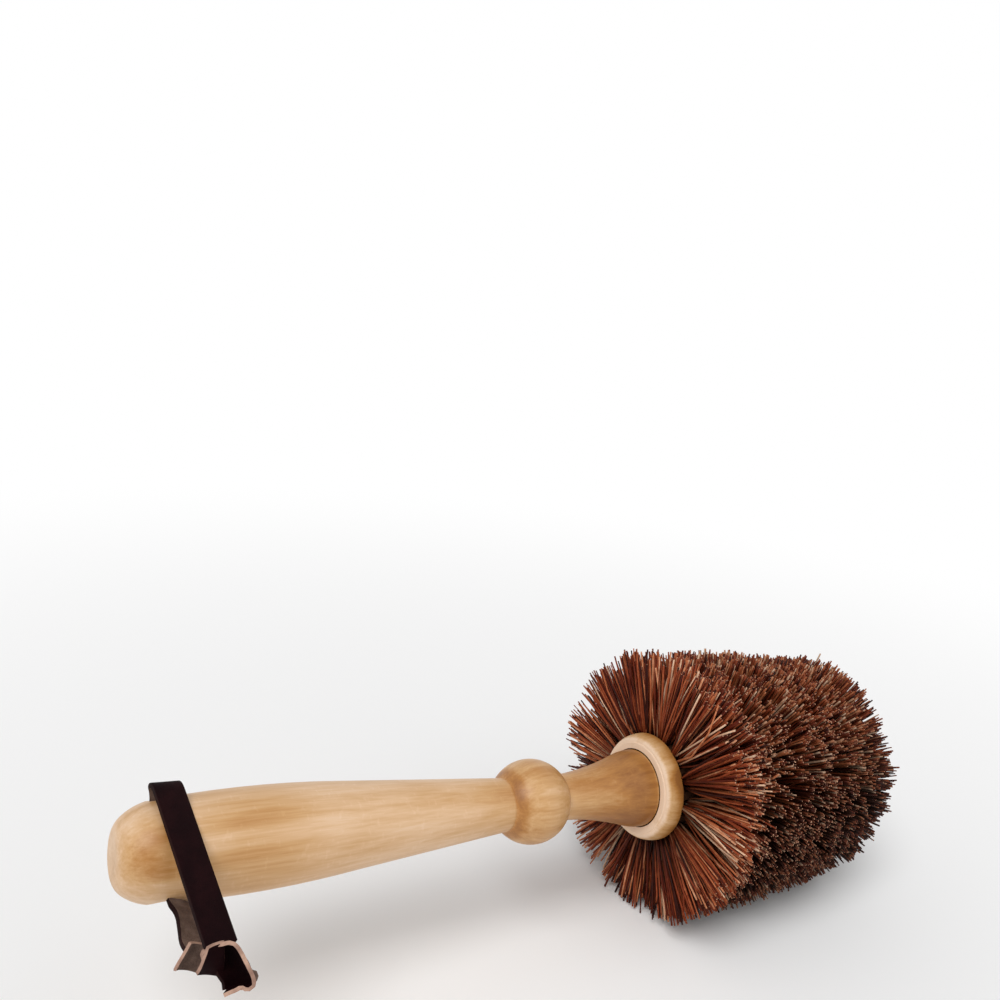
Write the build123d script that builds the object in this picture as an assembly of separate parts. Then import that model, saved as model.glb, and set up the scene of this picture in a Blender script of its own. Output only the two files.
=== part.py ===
from build123d import *
import math
import os

# A palm fibre brush for cleaning flower pots, lying as it rests: on its tapered head, handle raised.
# Lengths are in millimetres and angles in degrees.
# The brush is drawn along its own axis first. That axis is X, the ball's centre is at zero,
# the butt is on the minus side and the head on the plus side. Then it is laid down.

# Handle, turned from one piece of pale wood
ball_radius = 17.5
ball_crown_radius = 17.45
butt_reach = 168.0
butt_flat_radius = 6.5
butt_round_length = 15.0
butt_round_radius = 17.0
butt_nose_radius = 8.0
swell_setback = 41.5
swell_radius = 18.1
taper_setback = 80.3
taper_radius = 16.66
grip_foot_radius = 10.8
neck_foot_radius = 9.5
flare_radius = 16.9
joint_reach = 58.0
flare_hollow_share = (0.198, 0.094)
flare_turn_share = (0.813, 0.856)
tenon_radius = 9.0
tenon_length = 55.0

# Hole for the leather thong, bored across the handle near its butt
thong_hole_radius = 5.4
thong_hole_setback = 16.0
thong_hole_lean = 33.0

# Head block: a collar that shows, and the core behind it that the rows are set round
collar_front_radius = 22.4
collar_back_radius = 23.9
collar_length = 8.8
collar_front_easing = 1.4
collar_back_easing = 0.8
core_radius = 14.0
core_sides = 24
glue_gap = 0.1
seat_gap = 0.2

# Rows of tufts: twelve holes to a row, each row turned by half a hole from the one before
row_count = 8
row_pitch = 10.5
tufts_in_row = 12
strands_in_tuft = 4
backing_radius = 22.0
backing_dome_length = 11.0
backing_dome_shares = (1.0, 0.80, 0.55, 0.30)
root_depth = 1.0
strand_width = 4.4
strand_line_offset = 2.4
strand_gather_share = 0.80

# Envelope of the clipped fibre tips
front_tip_reach = 63.5
front_tip_radius = 59.5
head_taper = 5.0
cone_tip_reach = 160.0
end_tip_length = 31.0
flat_depth = 0.5

# Rings of strands on the dome: how many, where their roots lie as a share of the backing radius,
# and where their tips lie as shares of the way to the end and of the envelope's radius
end_rings = (24, 18, 10, 4)
end_root_shares = (0.89, 0.673, 0.436, 0.21)
end_tip_shares = ((0.27, 0.985), (0.60, 0.90), (0.87, 0.65), (0.985, 0.24))

# Flat wire anchors that hold the folded tufts in the core
anchor_width = 5.0
anchor_height = 2.6
anchor_thickness = 0.5
anchor_gap = 0.1
end_anchor_count = 12
end_anchor_circle_radius = 10.0

# Leather thong and its knot. The route lies in one plane through the hole's axis:
# rise along the hole, then reach away from it, from the knot round to the knot again.
thong_width = 9.6
thong_thickness = 1.8
thong_swing = 12.0
thong_route = (
    (-27.0, 38.2),
    (22.22, 9.98),
    (19.57, 0.0),
    (-20.5, 0.0),
    (-26.0, 8.5),
    (-31.0, 19.0),
    (-33.0, 27.0),
)
corner_share = 0.45
knot_width = 21.0
knot_easing = 1.4
knot_outline = (
    (-40.0, 27.5),
    (-44.5, 34.0),
    (-43.0, 42.0),
    (-36.5, 46.5),
    (-31.0, 45.0),
)
knot_entry_half = 3.2
tail_length = 8.0
tail_width = 8.4
tail_sink = 3.0
tail_starts = ((-37.0, 33.5), (-40.0, 38.0))
tail_turns = (38.0, 66.0)

overrun = 2.0
quarter_turn = 90.0
whole_turn = 360.0


# Places that follow from the values above
swell_reach = butt_reach - swell_setback
taper_reach = butt_reach - taper_setback
thong_hole_reach = butt_reach - thong_hole_setback
tilt_sine = math.sin(math.radians(head_taper))
tilt_cosine = math.cos(math.radians(head_taper))
axis_height = front_tip_radius * tilt_cosine + front_tip_reach * tilt_sine - flat_depth
core_end = joint_reach + collar_length + row_count * row_pitch
first_row_reach = joint_reach + collar_length + row_pitch / 2


def turned(outline):
    """A solid of revolution about X from a closed outline above the axis."""
    return revolve(make_face(outline), Axis.X)


def flats_across(reach, radius, sides, turn=0.0):
    """A many-sided section about X, with a flat at the turn and a radius to each flat."""
    seat = Plane(origin=(reach, 0, 0), x_dir=(0, 0, 1), z_dir=(1, 0, 0))
    first_corner = turn + whole_turn / (sides + sides)
    return seat * RegularPolygon(radius, sides, major_radius=False, rotation=first_corner)


def prism_along_axis(radius, sides, start, end, turn=0.0):
    """A many-sided bar about X from one reach to another."""
    return extrude(flats_across(start, radius, sides, turn), amount=end - start)


def around_axis(reach, radius, angle):
    """A point at an angle about X, measured from straight up."""
    turn = math.radians(angle)
    return Vector(reach, -radius * math.sin(turn), radius * math.cos(turn))


def hole_frame(swing=0.0):
    """The thong's plane: origin on the brush's axis, X up the hole, Y away from it."""
    lean = math.radians(thong_hole_lean)
    turn = math.radians(swing)
    up_hole = Vector(0, math.sin(lean), math.cos(lean))
    forward = Vector(0, -math.cos(lean), math.sin(lean))
    away = forward * math.cos(turn) + Vector(math.sin(turn), 0, 0)
    return Plane(origin=(-thong_hole_reach, 0, 0), x_dir=up_hole, z_dir=up_hole.cross(away))


# The handle
def butt_rounding():
    """Where the small arc at the butt runs into the wide one, and the wide one's radius."""
    height = butt_round_radius - butt_flat_radius
    spare = butt_round_length**2 + height**2 - 2 * butt_round_length * butt_nose_radius
    wide = spare / (2 * (height - butt_nose_radius))
    nose_centre = Vector(butt_nose_radius - butt_reach, butt_flat_radius)
    wide_centre = Vector(butt_round_length - butt_reach, butt_round_radius - wide)
    meeting = nose_centre + (nose_centre - wide_centre).normalized() * butt_nose_radius
    return (meeting.X, meeting.Y), wide


def make_handle():
    """Butt, swelling grip, ball, waisted flare and the tenon that goes into the block."""
    grip_end = -math.sqrt(ball_radius**2 - grip_foot_radius**2)
    neck_start = math.sqrt(ball_radius**2 - neck_foot_radius**2)
    shoulder = butt_round_length - butt_reach
    nose_end, sweep_radius = butt_rounding()
    neck_length = joint_reach - neck_start
    flare_growth = flare_radius - neck_foot_radius
    hollow, turn = [
        (neck_start + along * neck_length, neck_foot_radius + out * flare_growth)
        for along, out in (flare_hollow_share, flare_turn_share)
    ]
    with BuildLine() as outline:
        Line((-butt_reach, 0), (-butt_reach, butt_flat_radius))
        RadiusArc((-butt_reach, butt_flat_radius), nose_end, butt_nose_radius)
        RadiusArc(nose_end, (shoulder, butt_round_radius), sweep_radius)
        ThreePointArc(
            (shoulder, butt_round_radius), (-swell_reach, swell_radius), (-taper_reach, taper_radius)
        )
        Line((-taper_reach, taper_radius), (grip_end, grip_foot_radius))
        ThreePointArc(
            (grip_end, grip_foot_radius), (0, ball_crown_radius), (neck_start, neck_foot_radius)
        )
        neck = ThreePointArc((neck_start, neck_foot_radius), hollow, turn)
        TangentArc(turn, (joint_reach, flare_radius), tangent=neck % 1)
        Polyline(
            (joint_reach, flare_radius),
            (joint_reach, tenon_radius),
            (joint_reach + tenon_length, tenon_radius),
            (joint_reach + tenon_length, 0),
            (-butt_reach, 0),
        )
    body = turned(outline.line)
    across = hole_frame()
    half = swell_radius + overrun
    drill_seat = Plane(
        origin=across.origin - across.x_dir * half, x_dir=(1, 0, 0), z_dir=across.x_dir
    )
    return body - extrude(drill_seat * Circle(thong_hole_radius), amount=half + half)


# The head block
def make_head_block():
    """The collar against the flare and the core that carries rows, with its anchor slots."""
    back = joint_reach + collar_length
    bore_end = joint_reach + tenon_length + glue_gap
    with BuildLine() as outline:
        Polyline(
            (joint_reach, 0),
            (joint_reach, collar_front_radius - collar_front_easing),
            (joint_reach + collar_front_easing, collar_front_radius),
            (back - collar_back_easing, collar_back_radius),
            (back, collar_back_radius - collar_back_easing),
            (back, 0),
            close=True,
        )
    with BuildLine() as bore:
        Polyline(
            (joint_reach, 0),
            (joint_reach, tenon_radius + glue_gap),
            (bore_end, tenon_radius + glue_gap),
            (bore_end, 0),
            close=True,
        )
    block = turned(outline.line) + prism_along_axis(core_radius, core_sides, back, core_end)
    slots = [slot for row in range(row_count) for slot in row_anchors(row, anchor_gap)]
    return block.cut(turned(bore.line), *slots, *end_anchors(anchor_gap))


def row_turn(row):
    """Every second row is turned by half the angle between two holes."""
    return (row % 2) * whole_turn / (tufts_in_row + tufts_in_row)


def row_anchors(row, gap=0.0):
    """The wire anchors under one row. A gap makes the slots that take them."""
    anchors = []
    size = (anchor_width + 2 * gap, anchor_thickness + 2 * gap, anchor_height + 2 * gap)
    for tuft in range(tufts_in_row):
        angle = row_turn(row) + tuft * whole_turn / tufts_in_row
        top = core_radius - anchor_gap + gap
        seat = around_axis(first_row_reach + row * row_pitch, top, angle)
        outward = around_axis(0, 1, angle)
        frame = Plane(origin=seat, x_dir=(1, 0, 0), z_dir=outward)
        anchors.append(frame.location * Box(*size, align=(Align.CENTER, Align.CENTER, Align.MAX)))
    return anchors


def end_anchors(gap=0.0):
    """The wire anchors of the tufts on the dome, set in the end of the core."""
    anchors = []
    size = (anchor_height + 2 * gap, anchor_width + 2 * gap, anchor_thickness + 2 * gap)
    for number in range(end_anchor_count):
        angle = (number + 1 / 2) * whole_turn / end_anchor_count
        seat = around_axis(core_end - anchor_gap + gap, end_anchor_circle_radius, angle)
        frame = Plane(origin=seat, x_dir=(1, 0, 0), z_dir=around_axis(0, 1, angle))
        anchors.append(frame.location * Box(*size, align=(Align.MAX, Align.CENTER, Align.CENTER)))
    return anchors


# The bristles
def strand(root, tip, angle):
    """One square strand from inside the backing to its clipped tip."""
    along = (tip - root).normalized()
    sideways = around_axis(0, 1, angle + quarter_turn)
    frame = Plane(origin=root - along * root_depth, x_dir=sideways, z_dir=along)
    length = (tip - root).length + root_depth
    return frame.location * Box(
        strand_width, strand_width, length, align=(Align.CENTER, Align.CENTER, Align.MIN)
    )


def cone_tip_radius(reach):
    """The envelope narrows steadily from its front rim to where the end rounds over."""
    return front_tip_radius - (reach - front_tip_reach) * math.tan(math.radians(head_taper))


def make_row(row):
    """One row of tufts, four strands to a hole, on the slice of the block that holds them."""
    start = joint_reach + collar_length + row * row_pitch
    middle = start + row_pitch / 2
    end = start + row_pitch
    backing = prism_along_axis(backing_radius, tufts_in_row, start, end, row_turn(row))
    backing -= prism_along_axis(core_radius + seat_gap, core_sides, start - overrun, end + overrun)
    lines = 2 * row_count - 1
    strands = []
    for tuft in range(tufts_in_row):
        centre = row_turn(row) + tuft * whole_turn / tufts_in_row
        for place in range(strands_in_tuft):
            spread = (place - (strands_in_tuft - 1) / 2) * whole_turn / (strands_in_tuft * tufts_in_row)
            side = place % 2
            root_reach = middle + (2 * side - 1) * strand_line_offset
            tip_share = (2 * row + side) / lines
            tip_reach = front_tip_reach + tip_share * (cone_tip_reach - front_tip_reach)
            root = around_axis(root_reach, backing_radius, centre + spread * strand_gather_share)
            tip = around_axis(tip_reach, cone_tip_radius(tip_reach), centre + spread)
            strands.append(strand(root, tip, centre + spread))
    return backing.fuse(*strands)


def dome_reach(radius):
    """How far along the axis the block's domed end lies at a radius from it."""
    round_radius = (backing_radius**2 + backing_dome_length**2) / (2 * backing_dome_length)
    return core_end + backing_dome_length - round_radius + math.sqrt(round_radius**2 - radius**2)


def make_end():
    """The domed end of the block, with its strands fanning forwards."""
    radii = [share * backing_radius for share in backing_dome_shares]
    dome = loft([flats_across(dome_reach(radius), radius, core_sides) for radius in radii], ruled=True)
    cone_end_radius = cone_tip_radius(cone_tip_reach)
    strands = []
    for ring, count in enumerate(end_rings):
        root_radius = end_root_shares[ring] * backing_radius
        onward_share, radius_share = end_tip_shares[ring]
        tip_reach = cone_tip_reach + onward_share * end_tip_length
        for number in range(count):
            angle = (number + (ring + 1) % 2 / 2) * whole_turn / count
            root = around_axis(dome_reach(root_radius), root_radius, angle)
            tip = around_axis(tip_reach, radius_share * cone_end_radius, angle)
            strands.append(strand(root, tip, angle))
    return dome.fuse(*strands)


# The leather thong
def thong_directions():
    """Unit directions of the route's runs, in its own plane."""
    pairs = zip(thong_route, thong_route[1:])
    return [(Vector(*after) - Vector(*before)).normalized() for before, after in pairs]


def thong_radii():
    """Each corner's arc, as large as its two runs allow."""
    radii = []
    points = [Vector(*point) for point in thong_route]
    for before, corner, after in zip(points, points[1:], points[2:]):
        runs = (corner - before).length, (after - corner).length
        half_turn = math.radians((corner - before).get_angle(after - corner)) / 2
        radii.append(corner_share * min(runs) / math.tan(half_turn))
    return radii


def make_thong():
    """A flat strip swept along its route: knot, over the butt, down the hole, knot."""
    plane = hole_frame(thong_swing)
    radii = thong_radii()
    print("thong arcs", [round(radius, 2) for radius in radii])
    path = plane * FilletPolyline(*thong_route, radius=radii)
    start = path @ 0
    section = Plane(origin=start, x_dir=plane.z_dir, z_dir=path % 0)
    strip = sweep(section * Rectangle(thong_width, thong_thickness), path=path)
    print("thong length", round(path.length, 2), "volume", round(strip.volume, 1))
    print("section times length", round(thong_width * thong_thickness * path.length, 1))
    return strip


def make_knot():
    """The folded knot, its outer wrap and the two cut tails."""
    plane = hole_frame(thong_swing)
    directions = thong_directions()
    entries = []
    for point, direction in ((thong_route[-1], directions[-1]), (thong_route[0], directions[0])):
        along_face = Vector(-direction.Y, direction.X) * knot_entry_half
        entries += [Vector(*point) - along_face, Vector(*point) + along_face]
    lower, upper = entries[:2], entries[2:]
    corners = [*lower, *[Vector(*point) for point in knot_outline], *reversed(upper)]
    outline = [(corner.X, corner.Y) for corner in corners]
    print("knot outline", [(round(x, 1), round(y, 1)) for x, y in outline])
    across = plane * Polyline(*outline, close=True)
    heart = extrude(make_face(across), amount=knot_width / 2, both=True)
    heart = chamfer(heart.edges(), knot_easing)
    tails = [make_tail(plane, start, turn) for start, turn in zip(tail_starts, tail_turns)]
    return heart.fuse(*tails)


def make_tail(plane, start, turn):
    """A cut end of the strip, leaving the knot's butt side and turned downwards."""
    angle = math.radians(turn)
    outwards = plane.z_dir * -math.cos(angle) - plane.x_dir * math.sin(angle)
    side = plane.z_dir * -(knot_width / 2)
    foot = plane.from_local_coords(Vector(*start)) + side - outwards * tail_sink
    seat = Plane(origin=foot, x_dir=plane.y_dir, z_dir=outwards)
    return extrude(seat * Rectangle(tail_width, thong_thickness), amount=tail_length + tail_sink)


def lay_down(shape):
    """Tilts the brush about Y until its taper lies on the floor, and lifts it there."""
    return Location((0, 0, axis_height), (0, head_taper, 0)) * shape


def clip_flat(shape):
    """What would reach below the floor is pressed flat."""
    return split(shape, bisect_by=Plane.XY, keep=Keep.TOP)


pieces = {"handle": make_handle(), "head_block": make_head_block()}
for row in range(row_count):
    pieces[f"bristle_row_{row + 1}"] = make_row(row)
    pieces[f"tuft_anchors_{row + 1}"] = Compound(children=row_anchors(row))
pieces["bristle_end"] = make_end()
pieces["tuft_anchors_end"] = Compound(children=end_anchors())
pieces["leather_thong"] = make_thong()
pieces["thong_knot"] = make_knot()

laid = {name: lay_down(shape) for name, shape in pieces.items()}
for name in laid:
    if name.startswith("bristle"):
        laid[name] = clip_flat(laid[name])

solid_names = [name for name in laid if "thong" not in name]
low = min(laid[name].bounding_box().min.X for name in solid_names)
high = max(laid[name].bounding_box().max.X for name in solid_names)
centring = Pos(-(low + high) / 2, 0, 0)
print("ball centre at", round(-(low + high) / 2, 3), round(axis_height, 3))

os.makedirs("parts", exist_ok=True)
for name, shape in laid.items():
    export_step(centring * shape, f"parts/{name}.step")
    print(name, round(shape.volume, 1), shape.is_valid)
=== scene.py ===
# %% [markdown]
# A palm fibre brush for scrubbing round vessels inside. The real one is a turned wooden handle, a turned
# block drilled with rows of holes, a tuft of stiff palm fibre in each hole, and a leather loop to hang it
# by. It lies on its tapered head, so the handle points up a little and the loop hangs in front of the
# butt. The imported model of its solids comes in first, as a fixed frame that every piece is built round.

# %% The frame
import bmesh
import bpy
import math
import random
import numpy as np
from mathutils import Matrix, Vector


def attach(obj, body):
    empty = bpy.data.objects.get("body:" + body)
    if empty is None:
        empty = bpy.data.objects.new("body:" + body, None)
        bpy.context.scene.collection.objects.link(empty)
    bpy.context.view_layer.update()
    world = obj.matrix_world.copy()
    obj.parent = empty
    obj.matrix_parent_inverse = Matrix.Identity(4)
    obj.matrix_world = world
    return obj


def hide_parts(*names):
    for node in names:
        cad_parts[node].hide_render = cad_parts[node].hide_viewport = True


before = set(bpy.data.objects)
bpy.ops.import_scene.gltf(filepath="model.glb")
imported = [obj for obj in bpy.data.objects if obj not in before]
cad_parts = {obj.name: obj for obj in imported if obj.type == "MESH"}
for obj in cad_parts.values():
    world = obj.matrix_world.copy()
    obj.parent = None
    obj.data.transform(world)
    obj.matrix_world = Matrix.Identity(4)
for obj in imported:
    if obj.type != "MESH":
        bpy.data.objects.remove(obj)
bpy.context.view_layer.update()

# %% [markdown]
# Everything on the brush is turned or bored about one axis. Each piece could be modelled where it lies,
# but it is easier to think along that axis: the reach from the ball's centre towards the head, and the
# distance out from it. One matrix then lays the brush down, tipped by the five degrees of its taper.

# %% Lying down
BALL_CENTRE = Vector((-0.011645, 0.0, 0.064308))
HEAD_TAPER = math.radians(5.0)
LAY = Matrix.Translation(BALL_CENTRE) @ Matrix.Rotation(HEAD_TAPER, 4, "Y")


def around(reach, radius, angle):
    """A point at an angle about the brush's axis, measured from straight up, before it is laid down."""
    return Vector((reach, -radius * math.sin(angle), radius * math.cos(angle)))


print("axis of the brush", [round(c, 4) for c in LAY.to_3x3() @ Vector((1, 0, 0))])

# %% [markdown]
# The camera stands in front of the butt and to the near side, a little above, and is rolled a few
# degrees. A camera could be aimed with a constraint, but that leaves no roll. So the directions of its
# right and its top are written down, and the way it looks follows from the two.

# %% Camera
CAMERA_PLACE = Vector((-0.2350, -0.3017, 0.2756))
CAMERA_RIGHT = Vector((0.8507, -0.5155, 0.1034))
CAMERA_UP = Vector((0.0258, 0.2375, 0.9710))
LENS = 34.9
SENSOR_WIDTH = 36.0

camera_data = bpy.data.cameras.new("camera")
camera_data.lens = LENS
camera_data.sensor_width = SENSOR_WIDTH
camera_data.clip_start = 0.01
camera = bpy.data.objects.new("camera", camera_data)
bpy.context.collection.objects.link(camera)
right = CAMERA_RIGHT.normalized()
up = (CAMERA_UP - CAMERA_UP.project(right)).normalized()
turn = Matrix((right, up, right.cross(up))).transposed()
camera.matrix_world = Matrix.Translation(CAMERA_PLACE) @ turn.to_4x4()
bpy.context.scene.camera = camera
print("camera looks along", [round(c, 3) for c in -right.cross(up)])

# %% [markdown]
# Every new piece goes through the same few steps, so they are written once. A mesh becomes an object that
# stays at the origin, with its place in its mesh and its materials. It is then told which body of the brush
# it rides on and which solid it stands for.

# %% Helpers for pieces


def mesh_object(name, mesh, materials, smooth=True):
    """Puts a mesh in the scene with its materials."""
    mesh.name = name
    mesh.materials.clear()
    for material in materials:
        mesh.materials.append(material)
    if smooth:
        mesh.shade_smooth()
    else:
        mesh.shade_flat()
    piece = bpy.data.objects.new(name, mesh)
    bpy.context.collection.objects.link(piece)
    return piece


def as_object(name, bm, materials, smooth=True):
    """Turns a bmesh into an object whose place is in its mesh."""
    mesh = bpy.data.meshes.new(name)
    bm.to_mesh(mesh)
    bm.free()
    return mesh_object(name, mesh, materials, smooth)


def belongs(piece, body, slot, *nodes):
    """Says which body the piece rides on and the solids that it stands for. The slot, its finish, is not
    used.
    """
    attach(piece, body)
    if nodes:
        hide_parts(*nodes)
    print(piece.name, len(piece.data.polygons), "faces, on", body)
    return piece


def finished_mesh(piece):
    """The mesh that the object's modifiers make of it."""
    seen = piece.evaluated_get(bpy.context.evaluated_depsgraph_get())
    return bpy.data.meshes.new_from_object(seen)


# %% [markdown]
# Materials are node trees. They could be built with a line for each node and each link, but the same
# few steps come back in all of them: a sum, a mix, a ramp, a stretched noise. This small class gives
# each of them a short name, so that a recipe for wood reads like a recipe.

# %% Helper for nodes


def srgb(red, green, blue, alpha=1.0):
    """A colour as it looks on screen, turned into the linear values that the shaders work in."""
    linear = [
        c / 255 / 12.92 if c / 255 <= 0.04045 else ((c / 255 + 0.055) / 1.055) ** 2.4
        for c in (red, green, blue)
    ]
    return (*linear, alpha)


class Nodes:
    """A short way to place and link nodes in one tree."""

    def __init__(self, tree):
        self.tree = tree

    def add(self, kind, **settings):
        node = self.tree.nodes.new(kind)
        for name, value in settings.items():
            if hasattr(node, name):
                setattr(node, name, value)
            else:
                node.inputs[name].default_value = value
        return node

    def link(self, source, target):
        self.tree.links.new(source, target)

    def give(self, value, socket):
        """Sets a socket to a value, or links it where the value comes from another node."""
        if isinstance(value, (int, float, tuple)):
            socket.default_value = value
        else:
            self.link(value, socket)

    def math(self, operation, first, second):
        node = self.add("ShaderNodeMath", operation=operation)
        self.give(first, node.inputs[0])
        self.give(second, node.inputs[1])
        return node.outputs[0]

    def mix(self, share, first, second):
        node = self.add("ShaderNodeMix", data_type="RGBA")
        for value, place in ((share, 0), (first, 6), (second, 7)):
            self.give(value, node.inputs[place])
        return node.outputs[2]

    def ramp(self, value, stops):
        node = self.add("ShaderNodeValToRGB")
        elements = node.color_ramp.elements
        while len(elements) < len(stops):
            elements.new(0.5)
        for element, (place, colour) in zip(elements, stops):
            element.position = place
            element.color = colour
        self.link(value, node.inputs[0])
        return node.outputs[0]

    def between(self, value, low, high, new_low=0.0, new_high=1.0, kind="SMOOTHSTEP"):
        node = self.add("ShaderNodeMapRange", clamp=True, interpolation_type=kind)
        self.link(value, node.inputs[0])
        for socket, number in zip(node.inputs[1:5], (low, high, new_low, new_high)):
            socket.default_value = number
        return node.outputs[0]

    def noise(self, place, scale, detail=4.0, roughness=0.55, distortion=0.0):
        node = self.add("ShaderNodeTexNoise")
        self.link(place, node.inputs["Vector"])
        self.give(scale, node.inputs["Scale"])
        node.inputs["Detail"].default_value = detail
        node.inputs["Roughness"].default_value = roughness
        node.inputs["Distortion"].default_value = distortion
        return node.outputs[0]

    def stretched(self, place, scale):
        node = self.add("ShaderNodeMapping")
        self.link(place, node.inputs["Vector"])
        node.inputs["Scale"].default_value = scale
        return node.outputs[0]


print("a mid grey in linear values", [round(c, 3) for c in srgb(128, 128, 128)])

# %% [markdown]
# One kind of grain serves the handle and the block with different values, so a finish is a node group
# that puts out colour, roughness and height. The shader itself stays in each material, where the
# exporter can read it, and takes the height through a Bump node.

# %% Helpers for materials
COLOUR = "NodeSocketColor"
NUMBER = "NodeSocketFloat"
GROUP_OUTPUTS = (("Colour", COLOUR), ("Roughness", NUMBER), ("Height", NUMBER))


def node_group(name, inputs):
    """An empty shader node group with its sockets made."""
    group = bpy.data.node_groups.new(name, "ShaderNodeTree")
    for label, kind, value in inputs:
        socket = group.interface.new_socket(name=label, in_out="INPUT", socket_type=kind)
        socket.default_value = value
    for label, kind in GROUP_OUTPUTS:
        group.interface.new_socket(name=label, in_out="OUTPUT", socket_type=kind)
    nodes = Nodes(group)
    return group, nodes, nodes.add("NodeGroupInput"), nodes.add("NodeGroupOutput")


def new_material(name, group, values, bump, constants=()):
    """A material whose colour, roughness and height come from a group. bump is strength and depth."""
    material = bpy.data.materials.new(name)
    material.use_nodes = True
    nodes = Nodes(material.node_tree)
    shader = material.node_tree.nodes["Principled BSDF"]
    for label, value in constants:
        shader.inputs[label].default_value = value
    source = nodes.add("ShaderNodeGroup", node_tree=group)
    for label, value in values.items():
        source.inputs[label].default_value = value
    nodes.link(source.outputs["Colour"], shader.inputs["Base Color"])
    nodes.link(source.outputs["Roughness"], shader.inputs["Roughness"])
    relief = nodes.add("ShaderNodeBump", Strength=bump[0], Distance=bump[1])
    nodes.link(source.outputs["Height"], relief.inputs["Height"])
    nodes.link(relief.outputs["Normal"], shader.inputs["Normal"])
    return material


print("each finish puts out", [label for label, _ in GROUP_OUTPUTS])

# %% [markdown]
# The wood is pale and close-grained, like beech, and turned with its grain lengthwise. Its figure could
# be growth rings cut by the surface, but the real piece shows hardly any: it shows long soft streaks.
# So noise at three sizes is stretched along the brush's axis, and a fine speck is laid over it. The sum
# is a tone, and a colour ramp turns that into honey brown at the low end and cream at the high end.

# %% Wood grain
# Where the wood darkens or pales along the brush: from one reach to another, and by how much. These are the
# foot of the grip, painted shade in the crease before the ball, the waist, the flare, a painted highlight on
# the flare's rim, and painted shade down the collar's side towards the fibres.
HONEY_AND_PAINTED_LIGHT_RISES = (
    (-0.045, -0.006, 0.36),
    (-0.0150, -0.0127, 0.60),
    (-0.0121, -0.0085, -0.60),
    (0.010, 0.024, 0.35),
    (0.024, 0.050, 0.29),
    (0.0564, 0.0577, -0.35),
    (0.0584, 0.0605, 0.85),
    (0.0605, 0.0665, 0.65),
)
# Single darker places: where hands and water have been on the handle, and a patch on the collar's side next
# to the fibres. Centre, size and strength.
DARK_SPOTS = (
    ((-0.158, -0.015, 0.009), 0.016, 0.44),
    ((-0.126, -0.016, 0.008), 0.036, 0.24),
    ((0.050, -0.013, 0.008), 0.016, 0.12),
    ((0.0650, -0.0200, 0.0120), 0.0095, 0.60),
)
WOOD_COLOURS = (
    (0.0, srgb(148, 94, 42)),
    (0.25, srgb(178, 122, 60)),
    (0.50, srgb(203, 157, 104)),
    (0.75, srgb(222, 184, 144)),
    (1.0, srgb(236, 206, 178)),
)


def wood_group():
    group, nodes, given, made = node_group(
        "turned wood",
        (("Tone", NUMBER, 0.5), ("Flare shade", NUMBER, 0.3), ("Base roughness", NUMBER, 0.4)),
    )
    place = nodes.add("ShaderNodeTexCoord").outputs["Object"]
    lay = nodes.add("ShaderNodeMapping", vector_type="TEXTURE")
    lay.inputs["Location"].default_value = BALL_CENTRE
    lay.inputs["Rotation"].default_value = (0.0, HEAD_TAPER, 0.0)
    nodes.link(place, lay.inputs["Vector"])
    along = lay.outputs[0]
    fine = nodes.noise(nodes.stretched(along, (0.05, 1.0, 1.0)), 1100.0, 3.0, 0.6)
    streak = nodes.noise(nodes.stretched(along, (0.035, 1.0, 1.0)), 300.0, 4.0, 0.6, 0.2)
    broad = nodes.noise(nodes.stretched(along, (0.16, 1.0, 1.0)), 70.0, 3.0, 0.5, 0.3)
    speck = nodes.noise(nodes.stretched(along, (1.0, 0.5, 0.5)), 620.0, 2.0, 0.5)
    tone = given.outputs["Tone"]
    for pattern, strength in ((broad, 0.85), (streak, 0.50), (fine, 0.32)):
        swing = nodes.math("MULTIPLY", nodes.math("SUBTRACT", pattern, 0.5), strength)
        tone = nodes.math("ADD", tone, swing)
    tone = nodes.math("ADD", tone, nodes.between(speck, 0.58, 0.72, 0.0, 0.05))
    reach = nodes.add("ShaderNodeSeparateXYZ")
    nodes.link(along, reach.inputs[0])
    # Some of these rises are painted shade, in the crease and on the collar, and one is a painted highlight
    # on the flare's rim.
    for start, end, part in HONEY_AND_PAINTED_LIGHT_RISES:
        honey_and_painted_light = nodes.between(reach.outputs[0], start, end, 0.0, part)
        tone = nodes.math("SUBTRACT", tone, nodes.math("MULTIPLY", honey_and_painted_light, given.outputs["Flare shade"]))
    for centre, size, strength in DARK_SPOTS:
        gap = nodes.add("ShaderNodeVectorMath", operation="DISTANCE")
        nodes.link(along, gap.inputs[0])
        gap.inputs[1].default_value = centre
        near = nodes.between(gap.outputs["Value"], 0.0, size, strength, 0.0)
        tone = nodes.math("SUBTRACT", tone, near)
    nodes.link(nodes.ramp(tone, WOOD_COLOURS), made.inputs["Colour"])
    rough = nodes.math("ADD", given.outputs["Base roughness"], nodes.math("MULTIPLY", streak, 0.16))
    nodes.link(rough, made.inputs["Roughness"])
    nodes.link(nodes.math("ADD", streak, nodes.math("MULTIPLY", fine, 0.5)), made.inputs["Height"])
    return group


wood = wood_group()
print("wood grain nodes", len(wood.nodes))

# %% [markdown]
# The handle was waxed and has the soft shine of a piece that is held a lot. The block is of the same
# wood, but bare, so it is paler and duller. Both take the grain group with values of their own.

# %% Wood finishes
handle_wood = new_material(
    "waxed handle wood",
    wood,
    {"Tone": 0.68, "Flare shade": 0.54, "Base roughness": 0.34},
    (0.2, 0.0003),
    (("Specular IOR Level", 0.42), ("Coat Weight", 0.15), ("Coat Roughness", 0.3)),
)
# Its Flare shade also sets how dark the painted shade down the collar's side is.
block_wood = new_material(
    "bare block wood",
    wood,
    {"Tone": 1.46, "Flare shade": 0.58, "Base roughness": 0.55},
    (0.35, 0.0004),
    (("Specular IOR Level", 0.3),),
)
print("wood finishes", handle_wood.name, "and", block_wood.name)
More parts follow.
